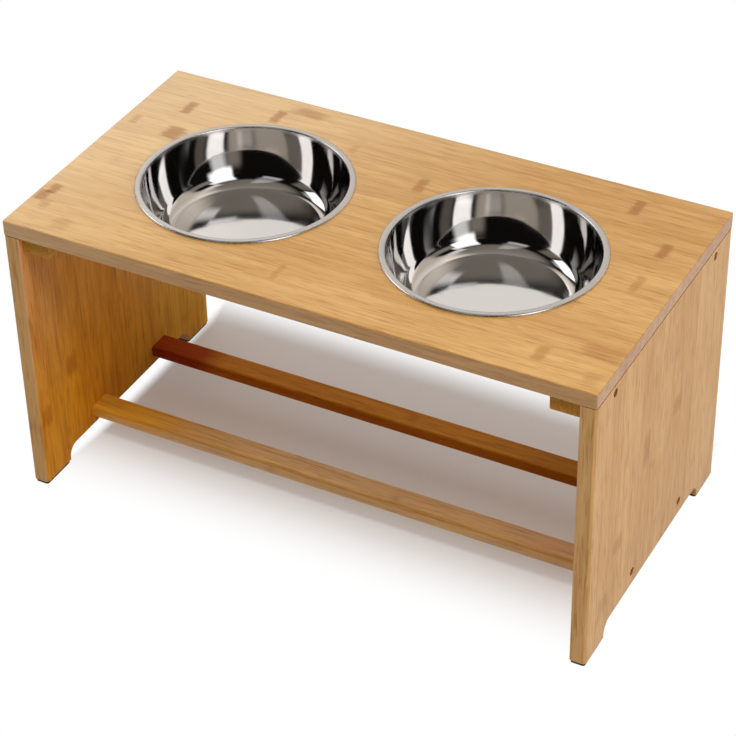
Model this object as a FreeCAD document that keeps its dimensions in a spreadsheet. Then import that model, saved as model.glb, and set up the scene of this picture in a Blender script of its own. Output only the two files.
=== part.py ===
import FreeCAD, Part
import os
import Sketcher
from FreeCAD import Rotation, Vector

# Elevated dog feeder: a screwed bamboo stand with two steel bowls that lift out.
# Millimetres and degrees. The origin is on the floor under the middle of the stand.
# +X points to the stand's right as seen from the front, -Y to the front and +Z up.

doc = FreeCAD.newDocument("elevated_dog_feeder")

# Driving sizes
SIZES = {
    "stand_width": (580.0, "overall width, over both side panels"),
    "stand_depth": (302.0, "overall depth, front to back"),
    "board_thickness": (16.0, "top board"),
    "board_edge_radius": (1.5, "eased edges of the top board"),
    "panel_thickness": (16.0, "side panels"),
    "panel_height": (281.0, "side panel, from its foot to the board"),
    "panel_edge_radius": (3.0, "rounded upright edges of the side panels"),
    "foot_length": (41.0, "each foot of a side panel, along the depth"),
    "arch_height": (14.0, "arch between the feet of a side panel"),
    "arch_radius": (11.0, "rounded corners of the arch"),
    "arch_edge_radius": (1.0, "eased edges of the arch"),
    "pad_thickness": (3.0, "non-slip pad under a foot"),
    "pad_inset": (1.0, "margin of foot left bare around a pad"),
    "pad_corner_radius": (2.5, "rounded corners of a pad"),
    "stretcher_width": (26.0, "stretcher, across its flat"),
    "stretcher_thickness": (12.0, "stretcher"),
    "stretcher_edge_radius": (3.0, "rounded long edges of a stretcher"),
    "stretcher_rise": (26.5, "floor to the underside of a stretcher"),
    "stretcher_offset": (55.5, "middle of the stand to the middle of a stretcher"),
    "cleat_width": (28.0, "cleat, along the stand's width"),
    "cleat_height": (16.0, "cleat, below the board"),
    "cleat_recess": (5.0, "cleat end, behind the edge of the board"),
    "cleat_edge_radius": (1.5, "eased long edges of a cleat"),
    "bowl_middle_share": (0.492, "share of the room left between the cleats that lies between the rims"),
    "bowl_mouth_radius": (95.4, "inside of a bowl at its rim"),
    "bowl_rim_width": (6.2, "bowl's mouth to the outside of its rolled rim"),
    "bowl_rim_height": (2.5, "top of the rim above the board"),
    "bowl_rim_roll": (1.8, "rounding of the rim's outer shoulder"),
    "bowl_mouth_round": (1.6, "rounding between the rim and the wall"),
    "bowl_depth": (52.5, "top of the rim to the bowl's floor"),
    "bowl_taper": (10.0, "lean of a bowl's wall from upright at its mouth"),
    "bowl_lower_taper": (28.0, "lean of a bowl's wall from upright above its corner"),
    "bowl_bend_share": (0.43, "how far down a bowl's depth its wall bends"),
    "bowl_bend_spread": (0.85, "share of the wall above the bend that the bend's rounding takes"),
    "bowl_corner_radius": (18.0, "inside corner between wall and floor"),
    "bowl_wall": (0.8, "sheet steel of a bowl"),
    "bowl_hole_clearance": (1.7, "gap round a bowl in its hole"),
    "screw_clearance": (0.1, "gap round a shank, head or dowel in its hole"),
    "hole_end_clearance": (1.0, "room left past the end of a screw or dowel"),
    "panel_screw_radius": (2.5, "shank of the screws through the panels"),
    "panel_screw_bite": (18.0, "length that a panel screw goes into its cleat or stretcher"),
    "panel_screw_head_radius": (4.0, "head of a panel screw"),
    "panel_screw_head_height": (3.0, "head of a panel screw"),
    "panel_screw_sink": (1.5, "head of a panel screw below the panel's face"),
    "panel_screw_point": (5.0, "tapered point of a panel screw"),
    "panel_screw_socket": (2.3, "corner radius of the hexagon socket in a panel screw"),
    "panel_screw_socket_depth": (1.8, "hexagon socket in a panel screw"),
    "cleat_screw_offset": (112.0, "middle of the stand to a screw into a cleat"),
    "stretcher_fixing_offset": (6.0, "middle of a stretcher to its screw, and to its dowel"),
    "board_screw_radius": (2.0, "shank of the screws up into the board"),
    "board_screw_bite": (10.0, "length that a board screw goes into the board"),
    "board_screw_head_radius": (3.5, "head of a board screw"),
    "board_screw_head_height": (2.4, "head of a board screw"),
    "board_screw_sink": (0.5, "head of a board screw below the cleat's underside"),
    "board_screw_point": (4.0, "tapered point of a board screw"),
    "board_screw_socket": (1.8, "corner radius of the hexagon socket in a board screw"),
    "board_screw_socket_depth": (1.4, "hexagon socket in a board screw"),
    "board_screw_pitch": (75.0, "one board screw to the next along a cleat"),
    "dowel_radius": (3.0, "locating dowel in a stretcher's end"),
    "dowel_in_panel": (9.0, "length of a dowel inside the panel"),
    "dowel_in_stretcher": (14.0, "length of a dowel inside the stretcher"),
}

sheet = doc.addObject("Spreadsheet::Sheet", "Sizes")
for line, (alias, (value, meaning)) in enumerate(SIZES.items(), start=1):
    sheet.set(f"A{line}", meaning)
    sheet.set(f"B{line}", str(value))
    sheet.setAlias(f"B{line}", alias)
doc.recompute()

# Places that several pieces share, as expressions on the sizes
INSIDE_WIDTH = "(Sizes.stand_width - 2 * Sizes.panel_thickness)"
HALF_DEPTH = "(Sizes.stand_depth / 2)"
BOARD_UNDERSIDE = "(Sizes.pad_thickness + Sizes.panel_height)"
BOARD_TOP = f"({BOARD_UNDERSIDE} + Sizes.board_thickness)"
CLEAT_MIDDLE_X = f"({INSIDE_WIDTH} / 2 - Sizes.cleat_width / 2)"
CLEAT_MIDDLE_Z = f"({BOARD_UNDERSIDE} - Sizes.cleat_height / 2)"
STRETCHER_MIDDLE_Z = "(Sizes.stretcher_rise + Sizes.stretcher_thickness / 2)"
PANEL_SHANK_HOLE = "(Sizes.panel_screw_radius + Sizes.screw_clearance)"
PANEL_HEAD_HOLE = "(Sizes.panel_screw_head_radius + Sizes.screw_clearance)"
PANEL_HEAD_DEPTH = "(Sizes.panel_screw_sink + Sizes.panel_screw_head_height)"
PANEL_PILOT_DEPTH = "(Sizes.panel_screw_bite + Sizes.hole_end_clearance)"
BOARD_SHANK_HOLE = "(Sizes.board_screw_radius + Sizes.screw_clearance)"
BOARD_HEAD_HOLE = "(Sizes.board_screw_head_radius + Sizes.screw_clearance)"
BOARD_HEAD_DEPTH = "(Sizes.board_screw_sink + Sizes.board_screw_head_height)"
BOARD_PILOT_DEPTH = "(Sizes.board_screw_bite + Sizes.hole_end_clearance)"
DOWEL_HOLE = "(Sizes.dowel_radius + Sizes.screw_clearance)"
CLEAT_SCREW_YS = ["-Sizes.cleat_screw_offset", "Sizes.cleat_screw_offset"]
BOARD_SCREW_YS = ["-Sizes.board_screw_pitch", "0", "Sizes.board_screw_pitch"]
BOWL_SLOPE = "tan(Sizes.bowl_taper * 1 deg)"
BOWL_WALL_ACROSS = "(Sizes.bowl_wall / cos(Sizes.bowl_taper * 1 deg))"
BOWL_WALL_TOP = f"(Sizes.bowl_mouth_radius + {BOWL_WALL_ACROSS})"
BOWL_RADIUS_AT_BOARD = f"({BOWL_WALL_TOP} - Sizes.bowl_rim_height * {BOWL_SLOPE})"
BOWL_RIM_RADIUS = "(Sizes.bowl_mouth_radius + Sizes.bowl_rim_width)"
CLEAR_WIDTH = f"({INSIDE_WIDTH} - 2 * Sizes.cleat_width)"
BOWL_ROOM = f"({CLEAR_WIDTH} - 2 * {BOWL_RADIUS_AT_BOARD} - 2 * {BOWL_RIM_RADIUS})"
BOWL_MIDDLE_X = f"({BOWL_RIM_RADIUS} + Sizes.bowl_middle_share * {BOWL_ROOM} / 2)"
ROWS = {"front": -1, "rear": 1}
SIDES = {"left": -1, "right": 1}

# Which end of a sketch's line, and which point of a circle, a constraint holds
ORIGIN = -1
START = 1
END = 2
CENTRE = 3
LENGTH_TOLERANCE = 0.001


def number(expression):
    """Value of an expression on the sizes."""
    return float(sheet.evalExpression(expression))


def stretcher_y(row):
    """Middle of the front or rear stretcher, front to back."""
    return f"({ROWS[row]} * Sizes.stretcher_offset)"


def screw_ys():
    """The screw in each stretcher's end lies behind the stretcher's middle."""
    return [f"({stretcher_y(row)} + Sizes.stretcher_fixing_offset)" for row in ROWS]


def dowel_ys():
    """The dowel in each stretcher's end lies in front of the stretcher's middle."""
    return [f"({stretcher_y(row)} - Sizes.stretcher_fixing_offset)" for row in ROWS]


# Sketching and shaping helpers
def new_body(label, x="0", y="0", z="0"):
    """A piece placed at expressions x, y and z."""
    body = doc.addObject("PartDesign::Body", label)
    body.Label = label
    for axis, expression in zip("xyz", (x, y, z)):
        body.setExpression(f"Placement.Base.{axis}", expression)
    return body


def new_sketch(body, name, plane, offset="0"):
    """A sketch on one of the body's own planes, moved along the plane's normal."""
    planes = {feature.Role: feature for feature in body.Origin.OriginFeatures}
    sketch = body.newObject("Sketcher::SketchObject", f"{body.Label}_{name}_sketch")
    sketch.AttachmentSupport = [(planes[plane], "")]
    sketch.MapMode = "FlatFace"
    sketch.setExpression("AttachmentOffset.Base.z", offset)
    return sketch


def pin(sketch, edge, point, x, y):
    """Hold a point of a sketch at expressions x and y from the sketch's origin."""
    for kind, expression in (("DistanceX", x), ("DistanceY", y)):
        constraint = Sketcher.Constraint(kind, ORIGIN, 1, edge, point, number(expression))
        index = sketch.addConstraint(constraint)
        sketch.setExpression(f"Constraints[{index}]", expression)


def draw_outline(sketch, corners):
    """A closed run of straight lines with every corner pinned."""
    points = [Vector(number(x), number(y), 0) for x, y in corners]
    lines = [sketch.addGeometry(Part.LineSegment(a, b)) for a, b in zip(points, points[1:] + points[:1])]
    for line, following in zip(lines, lines[1:] + lines[:1]):
        sketch.addConstraint(Sketcher.Constraint("Coincident", line, END, following, START))
    for line, (x, y) in zip(lines, corners):
        pin(sketch, line, START, x, y)


def draw_rectangle(sketch, width, height):
    """A rectangle centred on the sketch's origin."""
    x = f"({width} / 2)"
    y = f"({height} / 2)"
    draw_outline(sketch, [(f"-{x}", f"-{y}"), (x, f"-{y}"), (x, y), (f"-{x}", y)])


def draw_circles(sketch, radius, centres):
    """Equal circles with pinned centres."""
    for x, y in centres:
        middle = Vector(number(x), number(y), 0)
        circle = sketch.addGeometry(Part.Circle(middle, Vector(0, 0, 1), number(radius)))
        pin(sketch, circle, CENTRE, x, y)
        index = sketch.addConstraint(Sketcher.Constraint("Radius", circle, number(radius)))
        sketch.setExpression(f"Constraints[{index}]", radius)


def pad(body, sketch, length, side_type="One side", backwards=False):
    """Thicken a sketch into the body's solid."""
    feature = body.newObject("PartDesign::Pad", f"{body.Label}_pad")
    feature.Profile = sketch
    feature.SideType = side_type
    feature.Reversed = backwards
    feature.setExpression("Length", length)
    doc.recompute()
    return feature


def revolve(body, sketch):
    """Turn a sketch once round its own upright axis."""
    feature = body.newObject("PartDesign::Revolution", f"{body.Label}_revolution")
    feature.Profile = sketch
    feature.ReferenceAxis = (sketch, ["V_Axis"])
    feature.Angle = 360
    doc.recompute()
    return feature


def pocket(body, sketch, depth=None, along_normal=False):
    """Cut a sketch out of the body, right through where no depth is given."""
    volume_before = body.Shape.Volume
    feature = body.newObject("PartDesign::Pocket", f"{sketch.Label}_pocket")
    feature.Profile = sketch
    if depth is None:
        feature.Type = "ThroughAll"
        feature.SideType = "Symmetric"
    else:
        feature.Reversed = along_normal
        feature.setExpression("Length", depth)
    doc.recompute()
    if not body.Shape.Volume < volume_before:
        raise RuntimeError(f"{feature.Label} cut nothing")


def round_edges(body, name, radius, chosen):
    """Fillet the body's edges that the test picks."""
    tip = body.Tip
    names = [f"Edge{i}" for i, edge in enumerate(tip.Shape.Edges, start=1) if chosen(edge)]
    if not names:
        raise RuntimeError(f"{body.Label} has no edges for {name}")
    fillet = body.newObject("PartDesign::Fillet", f"{body.Label}_{name}")
    fillet.Base = (tip, names)
    fillet.setExpression("Radius", radius)
    doc.recompute()


def is_close(a, b):
    return abs(a - b) < LENGTH_TOLERANCE


def runs_along(edge, axis):
    """True for a straight edge along the body's x, y or z."""
    spans = {"x": edge.BoundBox.XLength, "y": edge.BoundBox.YLength, "z": edge.BoundBox.ZLength}
    return is_close(spans[axis], edge.Length)


def is_ring(edge, radius, height):
    """True for a whole circle of this radius round the body's Z at this height."""
    box = edge.BoundBox
    return is_close(box.ZLength, 0) and is_close(box.ZMin, height) and is_close(box.XMax, radius)


# Top board: laid on both panels, with two holes for the bowls and blind holes for the cleat screws
def make_top_board():
    body = new_body("top_board", z=BOARD_UNDERSIDE)
    outline = new_sketch(body, "outline", "XY_Plane")
    draw_rectangle(outline, "Sizes.stand_width", "Sizes.stand_depth")
    pad(body, outline, "Sizes.board_thickness")
    half_width = number("Sizes.stand_width / 2")
    half_depth = number(HALF_DEPTH)

    def on_outside(edge):
        middle = edge.CenterOfMass
        return is_close(abs(middle.x), half_width) or is_close(abs(middle.y), half_depth)

    round_edges(body, "eased_edges", "Sizes.board_edge_radius", on_outside)
    bowl_holes = new_sketch(body, "bowl_holes", "XY_Plane")
    hole_radius = f"({BOWL_RADIUS_AT_BOARD} + Sizes.bowl_hole_clearance)"
    draw_circles(bowl_holes, hole_radius, [(f"-{BOWL_MIDDLE_X}", "0"), (BOWL_MIDDLE_X, "0")])
    pocket(body, bowl_holes)
    pilots = new_sketch(body, "screw_pilots", "XY_Plane")
    centres = [(f"{sign}{CLEAT_MIDDLE_X}", y) for sign in ("-", "") for y in BOARD_SCREW_YS]
    draw_circles(pilots, BOARD_SHANK_HOLE, centres)
    pocket(body, pilots, BOARD_PILOT_DEPTH, along_normal=True)
    return body


# Side panels: sawn bamboo boards with an arch between two feet, drilled from outside for the screws.
# A panel's own x runs outwards from its inner face on the right, and inwards on the left.
def make_side_panel(label, side):
    body = new_body(label, x=f"{side} * {INSIDE_WIDTH} / 2", z="Sizes.pad_thickness")
    is_right = side > 0
    outline = new_sketch(body, "outline", "YZ_Plane")
    foot_y = f"({HALF_DEPTH} - Sizes.foot_length)"
    draw_outline(outline, [
        (f"-{HALF_DEPTH}", "0"), (f"-{foot_y}", "0"),
        (f"-{foot_y}", "Sizes.arch_height"), (foot_y, "Sizes.arch_height"),
        (foot_y, "0"), (HALF_DEPTH, "0"),
        (HALF_DEPTH, "Sizes.panel_height"), (f"-{HALF_DEPTH}", "Sizes.panel_height"),
    ])
    pad(body, outline, "Sizes.panel_thickness", backwards=not is_right)
    arch_height = number("Sizes.arch_height")
    foot_inner_y = number(foot_y)
    panel_edge_y = number(HALF_DEPTH)

    def at_arch_corner(edge):
        middle = edge.CenterOfMass
        on_arch_top = is_close(middle.z, arch_height)
        return runs_along(edge, "x") and on_arch_top and is_close(abs(middle.y), foot_inner_y)

    def around_arch(edge):
        box = edge.BoundBox
        between_feet = max(abs(box.YMin), abs(box.YMax)) < foot_inner_y + LENGTH_TOLERANCE
        below_arch = box.ZMax < arch_height + LENGTH_TOLERANCE
        return is_close(box.XLength, 0) and between_feet and below_arch

    def upright_outer(edge):
        return runs_along(edge, "z") and is_close(abs(edge.CenterOfMass.y), panel_edge_y)

    round_edges(body, "arch_corners", "Sizes.arch_radius", at_arch_corner)
    round_edges(body, "eased_arch", "Sizes.arch_edge_radius", around_arch)
    round_edges(body, "rounded_edges", "Sizes.panel_edge_radius", upright_outer)

    cleat_screw_z = f"({CLEAT_MIDDLE_Z} - Sizes.pad_thickness)"
    stretcher_z = f"({STRETCHER_MIDDLE_Z} - Sizes.pad_thickness)"
    screws = [(y, cleat_screw_z) for y in CLEAT_SCREW_YS] + [(y, stretcher_z) for y in screw_ys()]
    shanks = new_sketch(body, "shank_holes", "YZ_Plane")
    draw_circles(shanks, PANEL_SHANK_HOLE, screws)
    pocket(body, shanks)
    heads = new_sketch(body, "head_recesses", "YZ_Plane", offset=f"{side} * Sizes.panel_thickness")
    draw_circles(heads, PANEL_HEAD_HOLE, screws)
    pocket(body, heads, PANEL_HEAD_DEPTH, along_normal=not is_right)
    dowels = new_sketch(body, "dowel_holes", "YZ_Plane")
    draw_circles(dowels, DOWEL_HOLE, [(y, stretcher_z) for y in dowel_ys()])
    pocket(body, dowels, "Sizes.dowel_in_panel + Sizes.hole_end_clearance", along_normal=is_right)
    return body


# Stretchers: flat slats with rounded long edges, butted between the panels
def make_stretcher(row):
    body = new_body(f"{row}_stretcher", y=stretcher_y(row), z=STRETCHER_MIDDLE_Z)
    section = new_sketch(body, "section", "YZ_Plane")
    draw_rectangle(section, "Sizes.stretcher_width", "Sizes.stretcher_thickness")
    pad(body, section, INSIDE_WIDTH, side_type="Symmetric")
    round_edges(body, "rounded_edges", "Sizes.stretcher_edge_radius", lambda edge: runs_along(edge, "x"))
    for name, side in SIDES.items():
        end_x = f"{side} * {INSIDE_WIDTH} / 2"
        pilot = new_sketch(body, f"{name}_screw_pilot", "YZ_Plane", offset=end_x)
        draw_circles(pilot, PANEL_SHANK_HOLE, [("Sizes.stretcher_fixing_offset", "0")])
        pocket(body, pilot, PANEL_PILOT_DEPTH, along_normal=side < 0)
        dowel = new_sketch(body, f"{name}_dowel_hole", "YZ_Plane", offset=end_x)
        draw_circles(dowel, DOWEL_HOLE, [("-Sizes.stretcher_fixing_offset", "0")])
        pocket(body, dowel, "Sizes.dowel_in_stretcher + Sizes.hole_end_clearance", along_normal=side < 0)
    return body


# Cleats: battens in the corners under the board, which tie the panels to the board
def make_cleat(label, side):
    body = new_body(label, x=f"{side} * {CLEAT_MIDDLE_X}", z=CLEAT_MIDDLE_Z)
    section = new_sketch(body, "section", "XZ_Plane")
    draw_rectangle(section, "Sizes.cleat_width", "Sizes.cleat_height")
    pad(body, section, "Sizes.stand_depth - 2 * Sizes.cleat_recess", side_type="Symmetric")
    lower_z = number("-Sizes.cleat_height / 2")
    round_edges(body, "eased_edges", "Sizes.cleat_edge_radius",
                lambda edge: runs_along(edge, "y") and is_close(edge.CenterOfMass.z, lower_z))
    pilots = new_sketch(body, "panel_screw_pilots", "YZ_Plane", offset=f"{side} * Sizes.cleat_width / 2")
    draw_circles(pilots, PANEL_SHANK_HOLE, [(y, "0") for y in CLEAT_SCREW_YS])
    pocket(body, pilots, PANEL_PILOT_DEPTH, along_normal=side < 0)
    screws = [("0", y) for y in BOARD_SCREW_YS]
    shanks = new_sketch(body, "board_screw_holes", "XY_Plane")
    draw_circles(shanks, BOARD_SHANK_HOLE, screws)
    pocket(body, shanks)
    heads = new_sketch(body, "board_screw_recesses", "XY_Plane", offset="-Sizes.cleat_height / 2")
    draw_circles(heads, BOARD_HEAD_HOLE, screws)
    pocket(body, heads, BOARD_HEAD_DEPTH, along_normal=True)
    return body


# Bowls: pressed from sheet steel, with a rolled rim that rests on the board.
# A bowl's own z is 0 on the board's top.
def make_bowl(label, side):
    body = new_body(label, x=f"{side} * {BOWL_MIDDLE_X}", z=BOARD_TOP)
    profile = new_sketch(body, "profile", "XZ_Plane")
    floor_z = "(Sizes.bowl_rim_height - Sizes.bowl_depth)"
    base_z = f"({floor_z} - Sizes.bowl_wall)"
    bend_drop = "(Sizes.bowl_bend_share * Sizes.bowl_depth)"
    bend = f"(Sizes.bowl_mouth_radius - {bend_drop} * {BOWL_SLOPE})"
    bend_z = f"(Sizes.bowl_rim_height - {bend_drop})"
    lower_slope = "tan(Sizes.bowl_lower_taper * 1 deg)"
    floor_corner = f"({bend} - (Sizes.bowl_depth - {bend_drop}) * {lower_slope})"
    base_corner = (f"({floor_corner} + Sizes.bowl_wall"
                   f" * (1 / cos(Sizes.bowl_lower_taper * 1 deg) - {lower_slope}))")
    middle_lean = "((Sizes.bowl_taper + Sizes.bowl_lower_taper) * 0.5 deg)"
    half_turn = "((Sizes.bowl_lower_taper - Sizes.bowl_taper) * 0.5 deg)"
    bend_wall = f"(Sizes.bowl_wall / cos({half_turn}))"
    outer_bend = f"({bend} + {bend_wall} * cos({middle_lean}))"
    outer_bend_z = f"({bend_z} - {bend_wall} * sin({middle_lean}))"
    bend_radius = f"(Sizes.bowl_bend_spread * {bend_drop} / tan({half_turn}))"
    rim_under_z = "(Sizes.bowl_rim_height - Sizes.bowl_wall)"
    wall_top = f"({BOWL_WALL_TOP} - Sizes.bowl_wall * {BOWL_SLOPE})"
    lip_inner = f"({BOWL_RIM_RADIUS} - Sizes.bowl_wall)"
    draw_outline(profile, [
        ("0", floor_z), (floor_corner, floor_z), (bend, bend_z),
        ("Sizes.bowl_mouth_radius", "Sizes.bowl_rim_height"),
        (BOWL_RIM_RADIUS, "Sizes.bowl_rim_height"), (BOWL_RIM_RADIUS, "0"),
        (lip_inner, "0"), (lip_inner, rim_under_z),
        (wall_top, rim_under_z), (outer_bend, outer_bend_z),
        (base_corner, base_z), ("0", base_z),
    ])
    revolve(body, profile)
    bends = [
        ("inner_bend", bend_radius, bend, bend_z),
        ("outer_bend", f"{bend_radius} + Sizes.bowl_wall", outer_bend, outer_bend_z),
        ("inner_corner", "Sizes.bowl_corner_radius", floor_corner, floor_z),
        ("outer_corner", "Sizes.bowl_corner_radius + Sizes.bowl_wall", base_corner, base_z),
        ("rim_shoulder", "Sizes.bowl_rim_roll", BOWL_RIM_RADIUS, "Sizes.bowl_rim_height"),
        ("rim_hollow", "Sizes.bowl_rim_roll - Sizes.bowl_wall", lip_inner, rim_under_z),
        ("mouth", "Sizes.bowl_mouth_round", "Sizes.bowl_mouth_radius", "Sizes.bowl_rim_height"),
        ("mouth_underside", "Sizes.bowl_mouth_round - Sizes.bowl_wall", wall_top, rim_under_z),
    ]
    for name, rounding, ring_radius, ring_z in bends:
        ring = (number(ring_radius), number(ring_z))
        round_edges(body, name, rounding, lambda edge: is_ring(edge, *ring))
    return body


# Foot pads: thin rubber strips stuck under the panels' feet
def make_foot_pad(row, side_name, side):
    length = "(Sizes.foot_length - 2 * Sizes.pad_inset)"
    width = "(Sizes.panel_thickness - 2 * Sizes.pad_inset)"
    middle_x = f"{side} * (Sizes.stand_width / 2 - Sizes.panel_thickness / 2)"
    middle_y = f"{ROWS[row]} * ({HALF_DEPTH} - Sizes.foot_length / 2)"
    body = new_body(f"{row}_{side_name}_foot_pad", x=middle_x, y=middle_y)
    outline = new_sketch(body, "outline", "XY_Plane")
    draw_rectangle(outline, width, length)
    pad(body, outline, "Sizes.pad_thickness")
    round_edges(body, "rounded_corners", "Sizes.pad_corner_radius", lambda edge: runs_along(edge, "z"))
    return body


# Fasteners: each screw is turned about its own Z, with its point up and its head's seat at z 0
def make_screw(label, kind, length, place, turn):
    body = new_body(label, *place)
    body.Placement.Rotation = turn
    head_radius = f"Sizes.{kind}_screw_head_radius"
    head_height = f"Sizes.{kind}_screw_head_height"
    radius = f"Sizes.{kind}_screw_radius"
    profile = new_sketch(body, "profile", "XZ_Plane")
    draw_outline(profile, [
        ("0", f"-{head_height}"), (head_radius, f"-{head_height}"), (head_radius, "0"),
        (radius, "0"), (radius, f"{length} - Sizes.{kind}_screw_point"), ("0", length),
    ])
    revolve(body, profile)
    socket = new_sketch(body, "socket", "XY_Plane", offset=f"-{head_height}")
    corner = f"Sizes.{kind}_screw_socket"
    hexagon = [(f"{corner} * cos({60 * i} deg)", f"{corner} * sin({60 * i} deg)") for i in range(6)]
    draw_outline(socket, hexagon)
    pocket(body, socket, f"Sizes.{kind}_screw_socket_depth", along_normal=True)
    return body


def make_dowel(label, place, side):
    """A dowel along X, with its length shared between the panel and the stretcher."""
    dowel = doc.addObject("Part::Cylinder", label)
    dowel.setExpression("Radius", "Sizes.dowel_radius")
    dowel.setExpression("Height", "Sizes.dowel_in_panel + Sizes.dowel_in_stretcher")
    for axis, expression in zip("xyz", place):
        dowel.setExpression(f"Placement.Base.{axis}", expression)
    dowel.Placement.Rotation = Rotation(Vector(0, 1, 0), 90 * side)
    return dowel


def make_group(label, members):
    """Like fasteners, kept as separate solids in one piece of the parts list."""
    group = doc.addObject("Part::Compound", label)
    group.Label = label
    group.Links = members
    return group


def make_fasteners(side_name, side):
    inwards = Rotation(Vector(0, 1, 0), -90 * side)
    upwards = Rotation()
    seat_x = f"{side} * (Sizes.stand_width / 2 - {PANEL_HEAD_DEPTH})"
    panel_length = f"(Sizes.panel_thickness - {PANEL_HEAD_DEPTH} + Sizes.panel_screw_bite)"
    board_length = f"(Sizes.cleat_height - {BOARD_HEAD_DEPTH} + Sizes.board_screw_bite)"
    seat_z = f"({BOARD_UNDERSIDE} - Sizes.cleat_height + {BOARD_HEAD_DEPTH})"
    dowel_x = f"{side} * ({INSIDE_WIDTH} / 2 - Sizes.dowel_in_stretcher)"
    cleat_screws = [
        make_screw(f"{side_name}_cleat_screw_{i}", "panel", panel_length,
                   (seat_x, y, CLEAT_MIDDLE_Z), inwards)
        for i, y in enumerate(CLEAT_SCREW_YS, start=1)
    ]
    stretcher_screws = [
        make_screw(f"{side_name}_stretcher_screw_{i}", "panel", panel_length,
                   (seat_x, y, STRETCHER_MIDDLE_Z), inwards)
        for i, y in enumerate(screw_ys(), start=1)
    ]
    board_screws = [
        make_screw(f"{side_name}_board_screw_{i}", "board", board_length,
                   (f"{side} * {CLEAT_MIDDLE_X}", y, seat_z), upwards)
        for i, y in enumerate(BOARD_SCREW_YS, start=1)
    ]
    dowels = [
        make_dowel(f"{side_name}_stretcher_dowel_{i}", (dowel_x, y, STRETCHER_MIDDLE_Z), side)
        for i, y in enumerate(dowel_ys(), start=1)
    ]
    return [
        make_group(f"{side_name}_panel_cleat_screws", cleat_screws),
        make_group(f"{side_name}_panel_stretcher_screws", stretcher_screws),
        make_group(f"{side_name}_cleat_board_screws", board_screws),
        make_group(f"{side_name}_stretcher_dowels", dowels),
    ]


# Assembly
pieces = [make_top_board()]
pieces += [make_stretcher(row) for row in ROWS]
for side_name, side in SIDES.items():
    pieces.append(make_side_panel(f"{side_name}_side_panel", side))
    pieces.append(make_cleat(f"{side_name}_cleat", side))
    pieces.append(make_bowl(f"{side_name}_bowl", side))
    pieces += [make_foot_pad(row, side_name, side) for row in ROWS]
    pieces += make_fasteners(side_name, side)
doc.recompute()

# Nothing is written unless every feature and every solid is sound
failed = [obj.Label for obj in doc.Objects if {"Invalid", "Error"} & set(obj.State)]
failed += [piece.Label for piece in pieces if piece.Shape.isNull() or not piece.Shape.isValid()]
if failed:
    raise RuntimeError(f"failed objects: {failed}")

os.makedirs("parts", exist_ok=True)
for piece in pieces:
    piece.Shape.exportStep(f"parts/{piece.Label}.step")
    print(piece.Label, len(piece.Shape.Solids), "solids", round(piece.Shape.Volume, 1), "mm3")
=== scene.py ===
import math
from types import SimpleNamespace

import bmesh
import bpy
from mathutils import Matrix, Vector


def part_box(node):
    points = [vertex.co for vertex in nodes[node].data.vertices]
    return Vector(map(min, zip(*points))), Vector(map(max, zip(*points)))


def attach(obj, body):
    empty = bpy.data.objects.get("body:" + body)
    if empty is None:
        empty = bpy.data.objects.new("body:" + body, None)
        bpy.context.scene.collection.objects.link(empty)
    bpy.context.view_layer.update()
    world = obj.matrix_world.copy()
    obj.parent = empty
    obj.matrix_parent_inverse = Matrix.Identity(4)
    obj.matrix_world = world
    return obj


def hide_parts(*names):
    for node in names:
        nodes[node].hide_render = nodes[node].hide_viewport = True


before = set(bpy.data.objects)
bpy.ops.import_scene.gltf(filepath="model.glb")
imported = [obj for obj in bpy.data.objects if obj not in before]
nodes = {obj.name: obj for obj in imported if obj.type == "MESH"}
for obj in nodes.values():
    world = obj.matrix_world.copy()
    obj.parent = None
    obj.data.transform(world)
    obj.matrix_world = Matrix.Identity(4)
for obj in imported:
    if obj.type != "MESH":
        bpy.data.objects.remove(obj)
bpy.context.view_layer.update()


# Side panels
# Each end of the stand is one upright board of laminated bamboo: strips glued side by side, grain upwards.
# A low arch sawn out of the bottom edge leaves two feet, and the upright edges are rounded and sanded.

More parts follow.
